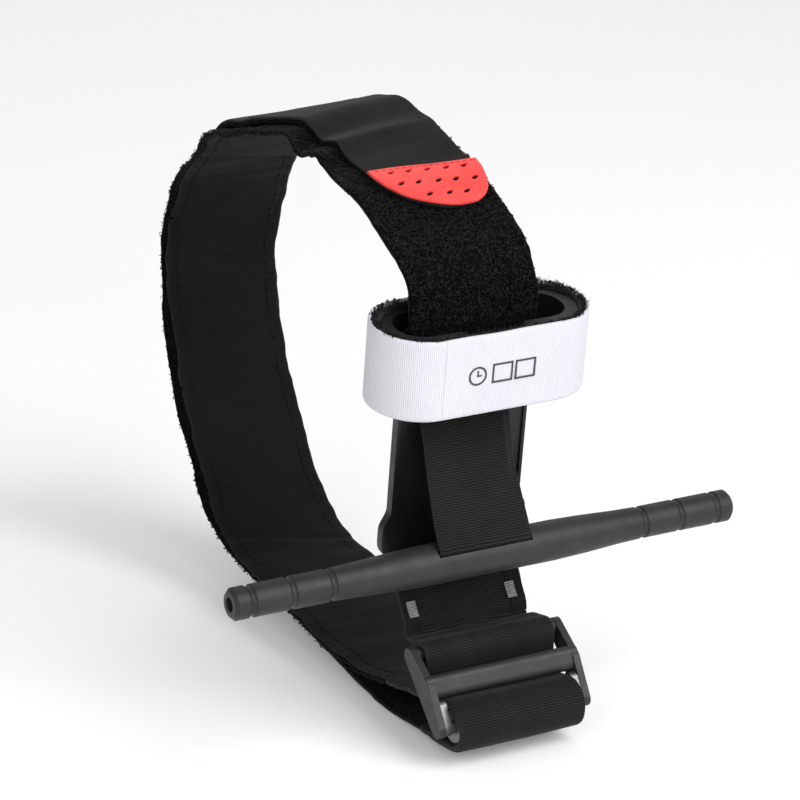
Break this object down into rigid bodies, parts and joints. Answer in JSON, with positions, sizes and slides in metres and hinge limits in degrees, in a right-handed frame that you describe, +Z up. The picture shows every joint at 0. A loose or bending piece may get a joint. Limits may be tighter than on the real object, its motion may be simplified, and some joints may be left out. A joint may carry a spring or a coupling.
{
  "type": "windlass tourniquet",
  "caption": "Closed loop tourniquet: self-adhering band through a three-bar buckle, windlass rod on a ribbon, base plate with C-clip, white time strap, red pull tip.",
  "frame": {"origin": "middle of the windlass rod", "axes": "+X along the rod and across the band, +Y from the rod towards the far side of the loop, +Z up along the base plate"},
  "size_m": [0.152, 0.1859, 0.1549],
  "materials": {
    "rod_plastic": "glass-filled, fine matte grain",
    "black_plastic": "smooth moulded",
    "buckle_plastic": "satin moulded",
    "buckle_metal": "satin",
    "hook_tape": "bumpy hook-and-loop pile",
    "lining": "fine ribbed weave",
    "cover": "smooth tight weave",
    "webbing": "cross-ribbed webbing",
    "binding": "narrow woven binding",
    "thread_grey": "dense zigzag tack",
    "thread_black": "lock stitch",
    "thread_red": "lock stitch",
    "tip_red": "soft satin, punched",
    "strap_white": "fine upright ribs",
    "strap_black": "hook pile"
  },
  "bodies": {
    "band": {"base_plate": "black_plastic", "windlass_clip": "black_plastic", "loop_tape": "hook_tape", "loop_lining": "lining", "edge_stitching": "thread_black", "run_tape": "hook_tape", "run_cover": "cover", "anchor_webbing": "webbing", "edge_bindings": "binding", "bar_tacks": "thread_grey", "strap_web": "strap_white", "strap_hook": "strap_black"},
    "ribbon": {"ribbon_upper": "webbing", "ribbon_lower": "webbing"},
    "windlass": {"windlass_rod": "rod_plastic", "ribbon_core": "webbing"},
    "strap_flap": {"flap_web": "strap_white", "flap_hook": "strap_black"},
    "buckle": {"buckle_frame": "buckle_plastic", "buckle_insert": "buckle_metal", "band_fold": "webbing"},
    "tail": {"tail_tape": "hook_tape", "tail_cover": "cover", "red_tip": "tip_red", "tip_seam": "thread_red"}
  },
  "joints": [
    {"name": "windlass_lift", "type": "slide", "parent": "band", "child": "ribbon", "axis": [0, -1, 0], "range_m": [0, 0.028], "deforming": ["ribbon_upper", "ribbon_lower"]},
    {"name": "windlass_turn", "type": "hinge", "parent": "ribbon", "child": "windlass", "pos_m": [0, 0, 0], "axis": [0, -1, 0], "range_deg": [-34, 34], "deforming": ["ribbon_upper", "ribbon_lower"]},
    {"name": "strap_open", "type": "hinge", "parent": "band", "child": "strap_flap", "pos_m": [-0.0173, -0.00772, 0.05324], "axis": [0, 0.1392, -0.9903], "range_deg": [0, 110]},
    {"name": "buckle_tilt", "type": "hinge", "parent": "band", "child": "buckle", "pos_m": [0, 0.0008, -0.0255], "axis": [1, 0, 0], "range_deg": [-8, 8], "deforming": ["band_fold"]},
    {"name": "tail_peel", "type": "hinge", "parent": "band", "child": "tail", "pos_m": [0, 0.06247, 0.10098], "axis": [-1, 0, 0], "range_deg": [0, 75]}
  ]
}
